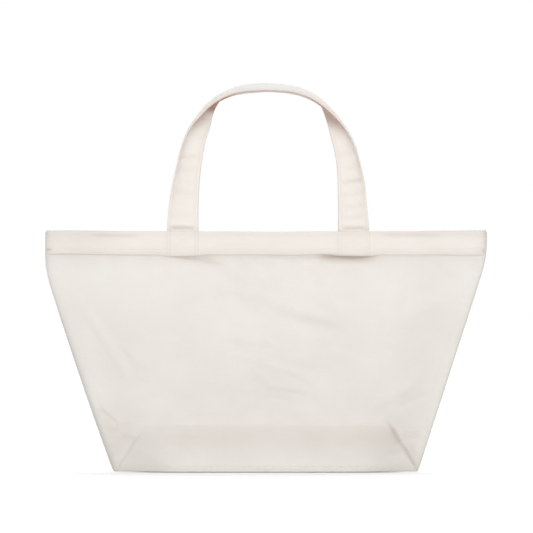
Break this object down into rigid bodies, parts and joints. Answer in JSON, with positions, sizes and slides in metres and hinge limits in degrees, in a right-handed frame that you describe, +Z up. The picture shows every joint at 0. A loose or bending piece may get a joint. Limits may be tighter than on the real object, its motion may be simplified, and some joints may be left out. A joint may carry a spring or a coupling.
{
  "type": "tote bag",
  "caption": "Large open-topped canvas tote bag, flared towards the mouth, with a pleated bottom gusset, a doubled top hem and looped strap handles that swing.",
  "frame": {"origin": "middle of the base, on the floor that the bag stands on", "axes": "+X across the bag to the right as seen from the front, +Y from the front to the rear, +Z up"},
  "size_m": [0.6644, 0.1524, 0.5845],
  "materials": {
    "panel_canvas": "matte natural plain-weave cotton canvas",
    "gusset_canvas": "matte natural plain-weave cotton canvas",
    "hem_canvas": "matte natural plain-weave cotton canvas",
    "strap_canvas": "matte natural cotton canvas folded into a strap",
    "binding_tape": "matte cotton seam tape",
    "cotton_thread": "cotton sewing thread"
  },
  "bodies": {
    "bag": {"front_panel": "panel_canvas", "rear_panel": "panel_canvas", "base_gusset": "gusset_canvas", "front_top_hem": "hem_canvas", "rear_top_hem": "hem_canvas", "left_side_seam_binding": "binding_tape", "right_side_seam_binding": "binding_tape", "front_handle_end_left": "strap_canvas", "front_handle_end_right": "strap_canvas", "rear_handle_end_left": "strap_canvas", "rear_handle_end_right": "strap_canvas", "front_hem_stitching": "cotton_thread", "rear_hem_stitching": "cotton_thread", "front_box_stitching_left": "cotton_thread", "front_box_stitching_right": "cotton_thread", "rear_box_stitching_left": "cotton_thread", "rear_box_stitching_right": "cotton_thread", "front_base_stitching": "cotton_thread", "rear_base_stitching": "cotton_thread"},
    "front_handle": {"front_handle": "strap_canvas", "front_handle_stitching": "cotton_thread"},
    "rear_handle": {"rear_handle": "strap_canvas", "rear_handle_stitching": "cotton_thread"}
  },
  "joints": [
    {"name": "front_handle_swing", "type": "hinge", "parent": "bag", "child": "front_handle", "pos_m": [0, -0.0553, 0.36095], "axis": [1, 0, 0], "range_deg": [-6.5, 165]},
    {"name": "rear_handle_swing", "type": "hinge", "parent": "bag", "child": "rear_handle", "pos_m": [0, 0.0553, 0.36095], "axis": [-1, 0, 0], "range_deg": [-6.5, 165]}
  ]
}
